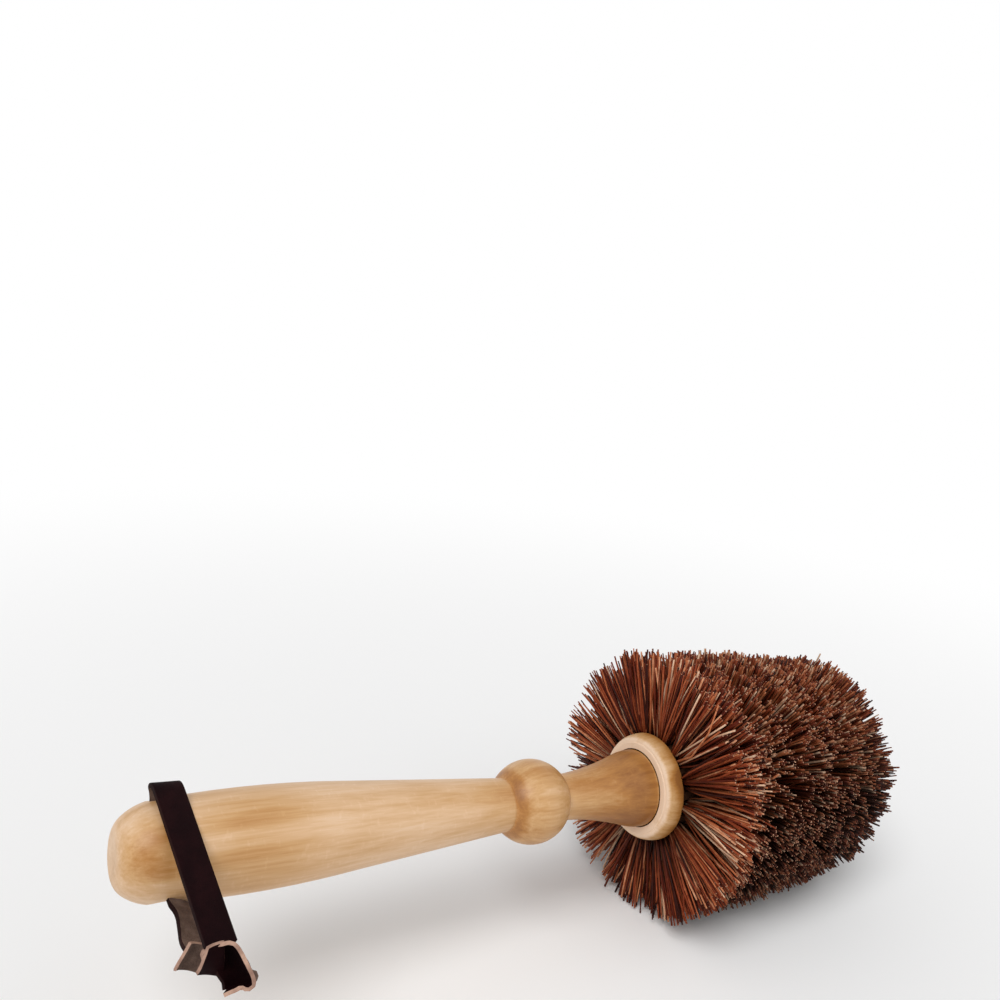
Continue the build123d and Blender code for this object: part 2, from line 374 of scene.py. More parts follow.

# %% [markdown]
# Palm fibre is stiff, nearly a millimetre thick and reddish brown, and no two fibres have the same colour. A
# noise in space would colour neighbours alike, so each fibre carries a tone of its own as an attribute of
# its mesh. A second attribute, the shade, is high towards its root, and the colour goes nearly black there:
# mostly painted shade, where the tufts keep the light out, and partly dirt that has stayed there.

# %% Palm fibre
FIBRE_COLOURS = (
    (0.0, srgb(46, 10, 2)),
    (0.25, srgb(96, 31, 11)),
    (0.50, srgb(150, 68, 36)),
    (0.72, srgb(192, 112, 70)),
    (0.90, srgb(220, 160, 122)),
    (1.0, srgb(234, 196, 164)),
)


def fibre_group():
    group, nodes, _, made = node_group("palm fibre", ())
    tone = nodes.add("ShaderNodeAttribute", attribute_name="tone").outputs["Fac"]
    shade = nodes.add("ShaderNodeAttribute", attribute_name="shade").outputs["Fac"]
    place = nodes.add("ShaderNodeTexCoord").outputs["Object"]
    speck = nodes.noise(place, 420.0, 3.0, 0.6)
    mottle = nodes.math("MULTIPLY", nodes.math("SUBTRACT", speck, 0.5), 0.40)
    colour = nodes.ramp(nodes.math("ADD", tone, mottle), FIBRE_COLOURS)
    # The shade attribute mixes in painted shade, nearly black.
    dark = nodes.between(shade, 0.0, 1.0, kind="LINEAR")
    nodes.link(nodes.mix(dark, colour, srgb(22, 4, 0)), made.inputs["Colour"])
    nodes.link(nodes.math("ADD", nodes.math("MULTIPLY", speck, 0.25), 0.42), made.inputs["Roughness"])
    nodes.link(speck, made.inputs["Height"])
    return group


palm_fibre = new_material(
    "palm fibre",
    fibre_group(),
    {},
    (0.3, 0.0002),
    (("Specular IOR Level", 0.15),),
)
print("palm fibre colours", len(FIBRE_COLOURS))

# %% [markdown]
# Three plainer finishes go with the tufts. Where the shears cut a fibre, its pale pith shows. The holes of
# the block, and the joint that the handle sits in, are painted dark brown inside as painted shade. The flat
# wires that hold the tufts are bright steel, and their solids from the imported model stay as they are. None
# is of one flat colour, and two colours mottled by noise are enough for each, so they share one small group.

# %% Cut ends, holes and wire


def mottled_group():
    group, nodes, given, made = node_group(
        "mottled",
        (
            ("First colour", COLOUR, srgb(128, 128, 128)),
            ("Second colour", COLOUR, srgb(96, 96, 96)),
            ("Scale", NUMBER, 500.0),
            ("Base roughness", NUMBER, 0.5),
        ),
    )
    place = nodes.add("ShaderNodeTexCoord").outputs["Object"]
    spot = nodes.noise(place, given.outputs["Scale"], 3.0, 0.6)
    share = nodes.between(spot, 0.35, 0.65)
    colour = nodes.mix(share, given.outputs["First colour"], given.outputs["Second colour"])
    nodes.link(colour, made.inputs["Colour"])
    rough = nodes.math("ADD", nodes.math("MULTIPLY", spot, 0.2), given.outputs["Base roughness"])
    nodes.link(rough, made.inputs["Roughness"])
    nodes.link(spot, made.inputs["Height"])
    return group


mottled = mottled_group()


def mottled_material(name, first, second, scale, roughness, bump, constants):
    values = {"First colour": first, "Second colour": second, "Scale": scale, "Base roughness": roughness}
    return new_material(name, mottled, values, bump, constants)


DULL = (("Specular IOR Level", 0.1),)
STEEL = (("Metallic", 1.0),)
cut_end = mottled_material(
    "cut fibre end", srgb(206, 160, 130), srgb(92, 50, 32), 420.0, 0.7, (0.2, 0.0002), DULL
)
hole_shade = mottled_material(
    "painted hole shade", srgb(70, 42, 26), srgb(44, 24, 14), 500.0, 0.8, (0.2, 0.0002), DULL
)
anchor_wire = mottled_material(
    "anchor wire", srgb(172, 172, 168), srgb(140, 140, 138), 600.0, 0.3, (0.1, 0.0001), STEEL
)


def dress(solid, material):
    """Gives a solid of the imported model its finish."""
    if not solid.material_slots:
        solid.data.materials.append(material)
    for slot in solid.material_slots:
        slot.material = material


anchors = [node for name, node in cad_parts.items() if name.startswith("tuft_anchors")]
for node in anchors:
    dress(node, anchor_wire)
print("anchor nodes dressed", len(anchors))

# %% [markdown]
# The leather has two faces. The grain side was dyed and rolled smooth, nearly black with a plum cast. The
# flesh side is rough and grey-brown. Where the strip was cut, a pale pinkish edge shows, but the long
# edges of the loop have taken the dye. All four come from one group: cells for the pores, and noise
# for the fluff of the flesh side.

# %% Leather


def leather_group():
    group, nodes, given, made = node_group(
        "leather",
        (
            ("First colour", COLOUR, srgb(60, 40, 30)),
            ("Second colour", COLOUR, srgb(90, 70, 60)),
            ("Scale", NUMBER, 1000.0),
            ("Fluff", NUMBER, 0.5),
            ("Base roughness", NUMBER, 0.5),
        ),
    )
    place = nodes.add("ShaderNodeTexCoord").outputs["Object"]
    scale, fluff_share = given.outputs["Scale"], given.outputs["Fluff"]
    broad = nodes.noise(place, 160.0, 3.0, 0.55)
    cell = nodes.add("ShaderNodeTexVoronoi", feature="DISTANCE_TO_EDGE")
    nodes.link(place, cell.inputs["Vector"])
    nodes.link(scale, cell.inputs["Scale"])
    pore = nodes.between(cell.outputs["Distance"], 0.0, 0.16)
    fluff = nodes.noise(place, nodes.math("MULTIPLY", scale, 1.3), 5.0, 0.7)
    fluffy = nodes.math("MULTIPLY", fluff, fluff_share)
    share = nodes.math("ADD", nodes.between(broad, 0.35, 0.7, 0.0, 0.6), fluffy)
    colour = nodes.mix(share, given.outputs["First colour"], given.outputs["Second colour"])
    nodes.link(colour, made.inputs["Colour"])
    rough = nodes.math("ADD", nodes.math("MULTIPLY", fluff, 0.2), given.outputs["Base roughness"])
    nodes.link(rough, made.inputs["Roughness"])
    pores = nodes.math("MULTIPLY", pore, nodes.math("SUBTRACT", 1.0, fluff_share))
    nodes.link(nodes.math("ADD", pores, fluffy), made.inputs["Height"])
    return group


leather = leather_group()


def leather_material(name, first, second, scale, fluff, roughness, bump, gloss):
    values = {
        "First colour": first,
        "Second colour": second,
        "Scale": scale,
        "Fluff": fluff,
        "Base roughness": roughness,
    }
    return new_material(name, leather, values, bump, (("Specular IOR Level", gloss),))


grain_leather = leather_material(
    "leather grain side", srgb(20, 6, 8), srgb(34, 13, 15), 1500.0, 0.15, 0.46, (0.35, 0.0003), 0.03
)
flesh_leather = leather_material(
    "leather flesh side", srgb(62, 44, 37), srgb(120, 98, 86), 1100.0, 0.6, 0.78, (0.7, 0.0006), 0.2
)
edge_leather = leather_material(
    "leather cut edge", srgb(128, 94, 82), srgb(208, 170, 148), 900.0, 0.5, 0.7, (0.4, 0.0004), 0.25
)
dyed_edge = leather_material(
    "leather dyed edge", srgb(22, 9, 10), srgb(44, 22, 20), 1300.0, 0.4, 0.6, (0.4, 0.0004), 0.06
)
print("materials", sorted(m.name for m in bpy.data.materials))

# %% [markdown]
# The loop is one strip of leather. It leaves the knot, lies over the near side of the butt, goes down
# through the hole and comes back to the knot. All of that lies nearly in one plane through the hole, so
# its route is given there: the rise along the hole, the distance away from it, and a little sideways.
# Straight runs with rounded corners would look like bent wire, so a NURBS line follows those points.

# %% The loop's route
HOLE_REACH = 0.152
HOLE_LEAN = math.radians(33.0)
LOOP_SWING = math.radians(12.0)

up_hole = Vector((0.0, math.sin(HOLE_LEAN), math.cos(HOLE_LEAN)))
forward = Vector((0.0, -math.cos(HOLE_LEAN), math.sin(HOLE_LEAN)))
away = forward * math.cos(LOOP_SWING) + Vector((1.0, 0.0, 0.0)) * math.sin(LOOP_SWING)
sideways = up_hole.cross(away)
LOOP_TURN = Matrix((up_hole, away, sideways)).transposed()
LOOP_PLACE = LAY @ Matrix.Translation((-HOLE_REACH, 0.0, 0.0)) @ LOOP_TURN.to_4x4()

THONG_ROUTE = (
    (-0.0297, 0.0402, -0.0016),
    (0.0160, 0.0117, -0.0017),
    (0.0209, 0.0080, -0.0015),
    (0.0212, 0.0046, -0.0012),
    (0.0165, 0.0024, -0.0009),
    (0.0080, 0.0018, -0.0003),
    (-0.0080, 0.0020, 0.0004),
    (-0.0166, 0.0046, 0.0020),
    (-0.0204, 0.0098, 0.0031),
    (-0.0257, 0.0143, 0.0025),
    (-0.0300, 0.0187, 0.0016),
    (-0.0323, 0.0252, 0.0008),
)


def route_points(name, corners):
    """The points of a smooth NURBS line through the loop's plane, on the laid brush."""
    curve = bpy.data.curves.new(name, "CURVE")
    curve.dimensions = "3D"
    curve.resolution_u = 12
    spline = curve.splines.new("NURBS")
    spline.points.add(len(corners) - 1)
    for point, corner in zip(spline.points, corners):
        point.co = (*(LOOP_PLACE @ Vector(corner)), 1.0)
    spline.order_u = 3
    spline.use_endpoint_u = True
    line = bpy.data.objects.new(name, curve)
    bpy.context.collection.objects.link(line)
    mesh = finished_mesh(line)
    points = [v.co.copy() for v in mesh.vertices]
    bpy.data.objects.remove(line)
    bpy.data.meshes.remove(mesh)
    bpy.data.curves.remove(curve)
    return points


thong_points = route_points("thong_route", THONG_ROUTE)
route_length = sum((after - before).length for before, after in zip(thong_points, thong_points[1:]))
print("thong", len(thong_points), "points,", round(route_length, 4), "m long")

# %% [markdown]
# A strip of leather is made the way it is cut: flat. It could be swept as a curve with a flat section,
# but then it stays flat across and can't curl on the way. So a flat grid is bent along the line, point
# by point, and Solidify gives it its thickness. That modifier can also tell the grain side, the flesh
# side and the cut edge apart. A small Bevel softens the edges.

# %% Leather strips
EDGE_SOFTNESS = 0.00022


def along_line(points, share):
    """The point and direction at a share of a line's length."""
    lengths = [0.0]
    for before, after in zip(points, points[1:]):
        lengths.append(lengths[-1] + (after - before).length)
    wanted = min(max(share, 0.0), 1.0) * lengths[-1]
    place = next((i for i in range(1, len(lengths)) if lengths[i] >= wanted), len(lengths) - 1)
    span = max(lengths[place] - lengths[place - 1], 1e-9)
    part = (wanted - lengths[place - 1]) / span
    point = points[place - 1].lerp(points[place], part)
    before, after = max(place - 2, 0), min(place + 1, len(points) - 1)
    return point, (points[after] - points[before]).normalized()


def at_share(value, share):
    """A size that is either one number or follows the share of the way."""
    return value(share) if callable(value) else value


def leather_strip(name, points, across, width, edge, thickness, steps=60, cup=0.0, slant=0.0):
    """A flat grid bent along a line. across gives the direction of its width at a share of the way."""
    bm = bmesh.new()
    bm.loops.layers.uv.new("UVMap")
    bmesh.ops.create_grid(bm, x_segments=steps, y_segments=8, size=0.5, calc_uvs=True)
    for vert in bm.verts:
        share, side = vert.co.x + 0.5, vert.co.y
        point, direction = along_line(points, share)
        wide = across(share)
        wide = (wide - wide.project(direction)).normalized()
        outwards = wide.cross(direction)
        size = at_share(width, share)
        bulge = at_share(cup, share) * (4 * side * side - 1) * size
        vert.co = point + wide * side * size + outwards * bulge + direction * side * slant * share**4
    bmesh.ops.reverse_faces(bm, faces=bm.faces)
    piece = as_object(name, bm, (grain_leather, flesh_leather, edge))
    shell = piece.modifiers.new("thickness", "SOLIDIFY")
    shell.thickness = thickness
    shell.offset = 0.0
    shell.material_offset = 1
    shell.material_offset_rim = 2
    softened = piece.modifiers.new("softened edge", "BEVEL")
    softened.width = EDGE_SOFTNESS
    softened.segments = 2
    softened.limit_method = "ANGLE"
    softened.angle_limit = math.radians(50)
    return piece


def eased(value):
    """A share that starts and ends gently, held between 0 and 1."""
    value = min(max(value, 0.0), 1.0)
    return value * value * (3 - 2 * value)


def loop_direction(rise, away, sideways):
    """A direction of the loop's plane, as the brush lies."""
    return (LOOP_PLACE.to_3x3() @ Vector((rise, away, sideways))).normalized()


print("up the hole is", [round(c, 3) for c in loop_direction(1, 0, 0)])

# %% [markdown]
# The hole is hardly wider than the strip, so the leather curls in it and lies against the near wall.
# The curl could be sculpted by hand, but it follows from where a point of the strip is: how deep in the
# hole. Below the hole the strip turns about its own length, because the knot pulls it to one side.

# %% The thong
THONG_WIDTH = 0.0106
THONG_THICKNESS = 0.0018
HOLE_DEPTH = 0.0172
MOUTH_LENGTH = 0.0050
LIFT_PLACE, LIFT_RUN = 0.0075, 0.0040
CURLED_LOSS = 0.0022
WIDENING_PLACE, WIDENING_RUN = -0.031, 0.012
TWIST = math.radians(30)
TWIST_PLACE, TWIST_RUN = 0.010, 0.024
UNTWIST_SHARE = 0.45
UNTWIST_PLACE, UNTWIST_RUN = 0.004, 0.016
CURL, FLAT_CURL = 0.21, -0.010


def place_in_loop(share):
    """Where a point of the strip is in the loop's own plane: x is the rise, y the way out."""
    return LOOP_PLACE.inverted() @ along_line(thong_points, share)[0]


def held_by_hole(share):
    """1 where the strip is curled up in the hole, 0 where it is free."""
    place = place_in_loop(share)
    deep = eased((HOLE_DEPTH + MOUTH_LENGTH - abs(place.x)) / MOUTH_LENGTH)
    return deep * eased((LIFT_PLACE - place.y) / LIFT_RUN)


def thong_width(share):
    """The strip is narrower where it is curled, and takes its full width again near the knot."""
    place = place_in_loop(share)
    if share > 0.5 and place.x < 0:
        curled = eased((place.x - WIDENING_PLACE) / WIDENING_RUN)
    else:
        curled = held_by_hole(share)
    return THONG_WIDTH - CURLED_LOSS * curled


def thong_across(share):
    """The strip lies square to the hole above it, and is turned where it leaves below."""
    if share < 0.5:
        return loop_direction(0.0, 0.0, 1.0)
    place = place_in_loop(share)
    back = 1 - UNTWIST_SHARE * eased((place.y - UNTWIST_PLACE) / UNTWIST_RUN)
    turned = TWIST * eased((TWIST_PLACE - place.x) / TWIST_RUN) * back
    return loop_direction(0.0, -math.sin(turned), math.cos(turned))


thong = leather_strip(
    "thong",
    thong_points,
    thong_across,
    thong_width,
    dyed_edge,
    THONG_THICKNESS,
    steps=170,
    cup=lambda share: CURL * held_by_hole(share) + FLAT_CURL,
)
belongs(thong, "loop", "thong_leather", "leather_thong")

# %% [markdown]
# The knot holds both ends of the strip. It could be tied with a cloth simulation, but that gives some
# knot and not this one. So it is built up from what shows of it, in short strips of the same leather.
# Each is given by a few places along it and the direction of its width, and a smooth curve joins them.

# %% Helper for the knot
KNOT_THICKNESS = 0.0012


def smooth_line(points, steps=14):
    """A smooth curve that runs through each of a few places, for a short strip."""
    corners = [Vector(p) for p in points]
    line = []
    for index in range(len(corners) - 1):
        before = corners[max(index - 1, 0)]
        start, end = corners[index], corners[index + 1]
        after = corners[min(index + 2, len(corners) - 1)]
        for step in range(steps):
            t = step / steps
            line.append(
                0.5
                * (
                    2 * start
                    + (end - before) * t
                    + (2 * before - 5 * start + 4 * end - after) * t * t
                    + (3 * start - before - 3 * end + after) * t**3
                )
            )
    line.append(corners[-1])
    return line


def knot_strip(name, points, across, width, edge, **more):
    """A strip of the knot, with its places given in the loop's own plane."""
    sides = [loop_direction(*direction) for direction in across]

    def wide(share):
        spot = share * (len(sides) - 1)
        first = min(int(spot), len(sides) - 2)
        return sides[first].lerp(sides[first + 1], spot - first)

    line = smooth_line([LOOP_PLACE @ Vector(p) for p in points])
    return leather_strip(name, line, wide, width, edge, KNOT_THICKNESS, steps=48, **more)


print("knot leather is", KNOT_THICKNESS * 1000, "mm thick")

# %% [markdown]
# Seen from the front, the knot is a band of leather rolled round with its pale cut edge towards us. A
# flap with the grain side out lies over the band's left end, a dark fold fills its middle, and the short
# cut tail behind it shows its flesh side and has curled. One box could hold their outline, but the thin
# edges and the dark between them are what makes it read as leather.

# %% The knot
TO_THE_BACK = (-0.09, -0.87, 0.48)
band = knot_strip(
    "knot_band",
    (
        (-0.0327, 0.0323, -0.0003),
        (-0.0309, 0.0335, -0.0009),
        (-0.0301, 0.0357, -0.0004),
        (-0.0299, 0.0381, 0.0010),
        (-0.0301, 0.0398, 0.0027),
        (-0.0322, 0.0404, 0.0043),
        (-0.0362, 0.0407, 0.0063),
        (-0.0402, 0.0407, 0.0081),
        (-0.0420, 0.0399, 0.0081),
        (-0.0428, 0.0374, 0.0061),
        (-0.0427, 0.0347, 0.0036),
    ),
    [TO_THE_BACK] * 6 + [(0.25, -0.87, 0.48)],
    0.0104,
    edge_leather,
)
flap = knot_strip(
    "knot_flap",
    (
        (-0.0292, 0.0416, -0.0039),
        (-0.0322, 0.0394, -0.0035),
        (-0.0350, 0.0369, -0.0029),
        (-0.0379, 0.0341, -0.0025),
    ),
    [(0.0, 0.10, -0.99), (0.10, 0.06, -0.99)],
    lambda share: 0.0056 + 0.0034 * share,
    edge_leather,
    cup=0.06,
    slant=-0.0040,
)
tail = knot_strip(
    "knot_tail",
    (
        (-0.0294, 0.0287, -0.0023),
        (-0.0324, 0.0268, -0.0034),
        (-0.0353, 0.0250, -0.0046),
        (-0.0364, 0.0242, -0.0048),
    ),
    [(-0.12, 0.10, 0.98), (-0.18, -0.05, 0.98)],
    lambda share: 0.0068 + 0.0010 * share,
    edge_leather,
    cup=-0.12,
    slant=0.0015,
)
heart = knot_strip(
    "knot_heart",
    (
        (-0.0315, 0.0338, 0.0020),
        (-0.0356, 0.0342, 0.0042),
        (-0.0392, 0.0347, 0.0062),
        (-0.0425, 0.0350, 0.0066),
    ),
    [(-0.40, 0.10, -0.85), (-0.15, 0.10, -0.95), (0.05, 0.10, -1.0)],
    lambda share: 0.0072 + 0.0034 * min(share * 2.5, 1.0),
    dyed_edge,
    cup=0.05,
)
belongs(band, "loop", "knot_leather", "thong_knot")
knot_pieces = [band, flap, tail, heart]
for piece in knot_pieces[1:]:
    belongs(piece, "loop", "knot_leather")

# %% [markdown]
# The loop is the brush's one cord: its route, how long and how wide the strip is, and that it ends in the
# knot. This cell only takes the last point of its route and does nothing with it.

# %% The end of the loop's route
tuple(thong_points[-1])

# %% [markdown]
# The handle is one piece, turned from the butt to the flare. Its solid has that profile and the bored
# hole already, and turning it again would give the same shape, so it stays as it is and takes its finish.

# %% The handle
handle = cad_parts["handle"]
dress(handle, handle_wood)
print("handle", len(handle.data.polygons), "faces, from the packed model")

# %% [markdown]
# The block is turned as well. Of it shows the collar behind the flare, a groove where the two meet, and
# the domed end deep between the fibres. Its solid has plain edges, so it is worth making anew: one outline
# of short arcs, turned with Spin as on the lathe. Where the spin closes, its doubled points are merged.

# %% The block's shape
TURNING_STEPS = 96
JOINT_REACH = 0.058
FLARE_RADIUS = 0.0169
RECESS = 0.0005
FACE_RADIUS = 0.0203
FACE_EASING = 0.0006
SHOULDER_LENGTH, SHOULDER_HEIGHT = 0.0072, 0.0034
COLLAR_BACK = 0.0668
BACK_EASING = 0.0012
BLOCK_RADIUS = 0.022
BLOCK_END = 0.1508
DOME_LENGTH = 0.011
DOME_STEPS = 8


def turned(name, outline, materials):
    """Spins an outline of (reach, radius) pairs about the brush's axis."""
    bm = bmesh.new()
    verts = [bm.verts.new((reach, 0.0, radius)) for reach, radius in outline]
    edges = [bm.edges.new(pair) for pair in zip(verts, verts[1:])]
    bmesh.ops.spin(
        bm,
        geom=verts + edges,
        cent=(0, 0, 0),
        axis=(1, 0, 0),
        angle=math.tau,
        steps=TURNING_STEPS,
        use_merge=True,
    )
    bmesh.ops.remove_doubles(bm, verts=bm.verts, dist=1e-6)
    bmesh.ops.recalc_face_normals(bm, faces=bm.faces)
    bmesh.ops.transform(bm, matrix=LAY, verts=bm.verts)
    return as_object(name, bm, materials)


def rounded(centre_reach, centre_radius, length, start, end, height=None, steps=8):
    """Points on a round of the outline, in degrees, or on an oval one of the given height."""
    angles = [math.radians(start + (end - start) * i / steps) for i in range(steps + 1)]
    height = height or length
    return [(centre_reach + length * math.cos(a), centre_radius + height * math.sin(a)) for a in angles]


dome_round = (BLOCK_RADIUS**2 + DOME_LENGTH**2) / (2 * DOME_LENGTH)
dome_centre = BLOCK_END + DOME_LENGTH - dome_round
dome = []
for step in range(DOME_STEPS + 1):
    radius = BLOCK_RADIUS * (1 - step / DOME_STEPS)
    dome.append((dome_centre + math.sqrt(dome_round**2 - radius**2), radius))
back_round = COLLAR_BACK - BACK_EASING
block_outline = (
    [(JOINT_REACH + RECESS, 0.0), (JOINT_REACH + RECESS, FLARE_RADIUS + RECESS)]
    + [(JOINT_REACH, FLARE_RADIUS + RECESS)]
    + rounded(JOINT_REACH + FACE_EASING, FACE_RADIUS - FACE_EASING, FACE_EASING, 180, 100)
    + rounded(back_round, FACE_RADIUS + 0.0001, SHOULDER_LENGTH, 170, 92, SHOULDER_HEIGHT)
    + rounded(back_round, FACE_RADIUS + 0.0023, BACK_EASING, 88, 0)
    + [(COLLAR_BACK, BLOCK_RADIUS)]
    + dome
)
block = turned("block", block_outline, (block_wood, hole_shade))
print("block outline", len(block_outline), "points, widest", round(max(r for _, r in block_outline), 4))

# %% [markdown]
# The first row of holes was drilled so close to the collar that the drill cut scallops into its back.
# They could be modelled one by one, but a Boolean with twelve cylinders does what the drill did. Then the
# holes' walls, the back of the collar and the groove get the dark finish as painted shade, since they lie in
# deep shade.

# %% The first row of holes
HOLE_RADIUS = 0.0040
HOLE_CENTRE_RADIUS = 0.0235
DRILL_LENGTH = 0.007
FIRST_ROW = 0.0698
TUFTS_IN_ROW = 12
SHARP_ANGLE = math.radians(35)
CLOSE = 0.0001

drills = bmesh.new()
for tuft in range(TUFTS_IN_ROW):
    angle = tuft * math.tau / TUFTS_IN_ROW
    seat = around(FIRST_ROW, HOLE_CENTRE_RADIUS, angle)
    bmesh.ops.create_cone(
        drills,
        cap_ends=True,
        segments=24,
        radius1=HOLE_RADIUS,
        radius2=HOLE_RADIUS,
        depth=DRILL_LENGTH,
        matrix=Matrix.Translation(seat) @ Matrix.Rotation(angle, 4, "X"),
    )
bmesh.ops.transform(drills, matrix=LAY, verts=drills.verts)
# The holes' walls take the dark finish: painted shade.
for face in drills.faces:
    face.material_index = 1
drill = as_object("drills", drills, (block_wood, hole_shade))
cut = block.modifiers.new("first row of holes", "BOOLEAN")
cut.operation = "DIFFERENCE"
cut.object = drill
cut.solver = "EXACT"
scalloped = finished_mesh(block)
block.modifiers.clear()
old = block.data
block.data = scalloped
bpy.data.meshes.remove(old)
bpy.data.objects.remove(drill)
block.data.set_sharp_from_angle(angle=SHARP_ANGLE)
# Faces in the joint and behind the collar take the dark finish: painted shade.
for face in block.data.polygons:
    place = LAY.inverted() @ face.center
    near_axis = math.hypot(place.y, place.z) < FLARE_RADIUS + RECESS + CLOSE
    in_joint = place.x > JOINT_REACH + CLOSE and near_axis
    if in_joint or place.x > COLLAR_BACK - CLOSE:
        face.material_index = 1
belongs(block, "brush", "block_wood", "head_block")

# %% [markdown]
# The head was clipped with shears to one smooth shape: widest at the rim, then a long slow taper and a
# rounded end. Fibres that are too long could be cut by a Boolean, which is slow for thousands. So the
# shape is kept as a table of reach and radius, and each fibre simply ends there. Where the head rests on
# the floor its lower tufts are pushed flat, and the ends of the others are pushed up a little.

# %% The clipped shape of the head
ROWS = 8
RIM_REACH = 0.0635
CONE_END = 0.160
ENVELOPE = np.array(
    (
        (0.0560, 0.0590),
        (0.0635, 0.0595),
        (0.0700, 0.0588),
        (0.0800, 0.0572),
        (0.0950, 0.0565),
        (0.1100, 0.0572),
        (0.1300, 0.0552),
        (0.1500, 0.0525),
        (0.1650, 0.0510),
        (0.1740, 0.0490),
        (0.1800, 0.0440),
        (0.1850, 0.0365),
        (0.1885, 0.0270),
        (0.1905, 0.0150),
        (0.1912, 0.0),
    )
)
FLOOR_CLEARANCE = 0.0004
UPPER_LIFT = ((0.056, 0.080, 0.150, 0.190), (0.0008, 0.0022, 0.0030, 0.0078))
LOWER_LIFT = ((0.056, 0.075, 0.090), (0.0018, 0.0018, 0.0))
FULL_LIFT_RADIUS = 0.05


def clipped_radius(reach):
    """How far out the shears left the tips at a reach."""
    return float(np.interp(reach, ENVELOPE[:, 0], ENVELOPE[:, 1]))


def end_profile(share):
    """The reach and radius of the clipped end at a share of the way from its edge to the axis."""
    part = ENVELOPE[ENVELOPE[:, 0] >= CONE_END - 1e-6]
    part = np.vstack(([CONE_END, clipped_radius(CONE_END)], part))
    steps = np.concatenate(([0.0], np.cumsum(np.hypot(*np.diff(part, axis=0).T))))
    spot = share * steps[-1]
    return float(np.interp(spot, steps, part[:, 0])), float(np.interp(spot, steps, part[:, 1]))


def resting(point):
    """A point of the laid brush. What would be under the floor is bent up on to it."""
    laid = LAY @ point
    laid.z = max(laid.z, FLOOR_CLEARANCE)
    return laid


def lifted(reach, radius, angle):
    """A tip's place. The head rests on its lower tufts, which pushes the ends of the upper ones up."""
    upper = float(np.interp(reach, *UPPER_LIFT))
    lower = float(np.interp(reach, *LOWER_LIFT))
    share = (1 + math.cos(angle) * min(radius / FULL_LIFT_RADIUS, 1.0)) / 2
    return around(reach, radius, angle) + Vector((0.0, 0.0, upper * share + lower * (1 - share)))


print("head", 2 * clipped_radius(RIM_REACH), "m across,", round(ENVELOPE[-1, 0] - RIM_REACH, 4), "m deep")

# %% [markdown]
# Each tuft is a bundle of fibres folded in two and driven into its hole, so they leave it side by side and
# fan out. Particle hair could do this, but it is hard to tell its fibres where to end. Here each fibre
# is a line of four points between a place in the hole and a place in the clipped shape. Fibres cling
# together, so a tuft is first shared out in small bundles. All chance comes from one seed.

# %% One tuft
BUNDLES_IN_TUFT = 13
BUNDLE_SIZE = 0.26
BUNDLE_LEAN = 0.045
BUNDLE_RAGGED = 0.0009
BOW = 0.0011
USUAL_TONE, TONE_SPREAD = 0.46, 0.28
shears = random.Random(7)


def on_disc():
    """A random place on a disc of radius 1: lengthwise and crosswise."""
    out, turn = math.sqrt(shears.random()), shears.uniform(0, math.tau)
    return Vector((out * math.cos(turn), out * math.sin(turn)))


def in_bundles(count):
    """Gives each fibre's place in the tuft, and the lean and extra length of its bundle."""
    bundles = [
        (on_disc(), shears.gauss(0, BUNDLE_LEAN), shears.gauss(0, BUNDLE_RAGGED))
        for _ in range(BUNDLES_IN_TUFT)
    ]
    for _ in range(count):
        middle, lean, length = shears.choice(bundles)
        spot = middle + on_disc() * BUNDLE_SIZE
        yield spot / max(spot.length, 1.0), lean, length


def fibre_line(root, tip, stray, shares):
    """Four points from inside the block to the tip, a little bowed."""
    along = tip - root
    side = along.orthogonal().normalized()
    side.rotate(Matrix.Rotation(shears.uniform(0, math.tau), 3, along.normalized()))
    bow = shears.gauss(0, BOW) + stray
    return [resting(root + along * share + side * bow * math.sin(math.pi * share)) for share in shares]


def fibre_tone(tuft_tone):
    """How pale a fibre is: most are brown, some nearly black and some straw-coloured."""
    return min(max(shears.gauss(USUAL_TONE, TONE_SPREAD) + tuft_tone, 0.0), 1.0)


print("a tuft has", BUNDLES_IN_TUFT, "bundles")

# %% [markdown]
# Eight rows of twelve holes go round the block, each row turned by half a hole from the one before, so
# the tufts close each other's gaps. A row could be one tuft copied round, but then its fibres repeat,
# and the front row is seen from close by. So each tuft is drawn anew, with its own tone. The front row
# has fewer and thicker fibres that are less tidy, and a few pale ones lie across the others.

# %% One row of tufts
FIBRES_IN_FRONT_TUFT = 120
FIBRES_IN_TUFT = 150
ROW_PITCH = 0.0105
TIP_PITCH = (CONE_END - RIM_REACH) / ROWS
ROOT_DEPTH = 0.004
ROOT_SHIFT = 0.0012
ROOT_ALONG, ROOT_ASIDE = 0.0030, 0.0034
TIP_ALONG, TIP_ASIDE = 0.0092, 0.262
TUFT_TURN, TUFT_TONE = 0.016, 0.08
TIP_JITTER, RIM_JITTER = 0.0010, 0.0016
STRAY_CHANCE, STRAY_BOW, STRAY_LENGTH = 0.04, 0.004, 0.002
CROSSING_CHANCE, CROSSING_TURN, CROSSING_SHIFT, CROSSING_TONE = 0.025, 0.20, 0.006, 0.35
USUAL_LENGTH, LONGEST = -0.0010, 0.0022
FRONT_SHARES = (0.0, 0.36, 0.72, 1.0)
SIDE_SHARES = (0.0, 0.50, 0.945, 1.0)


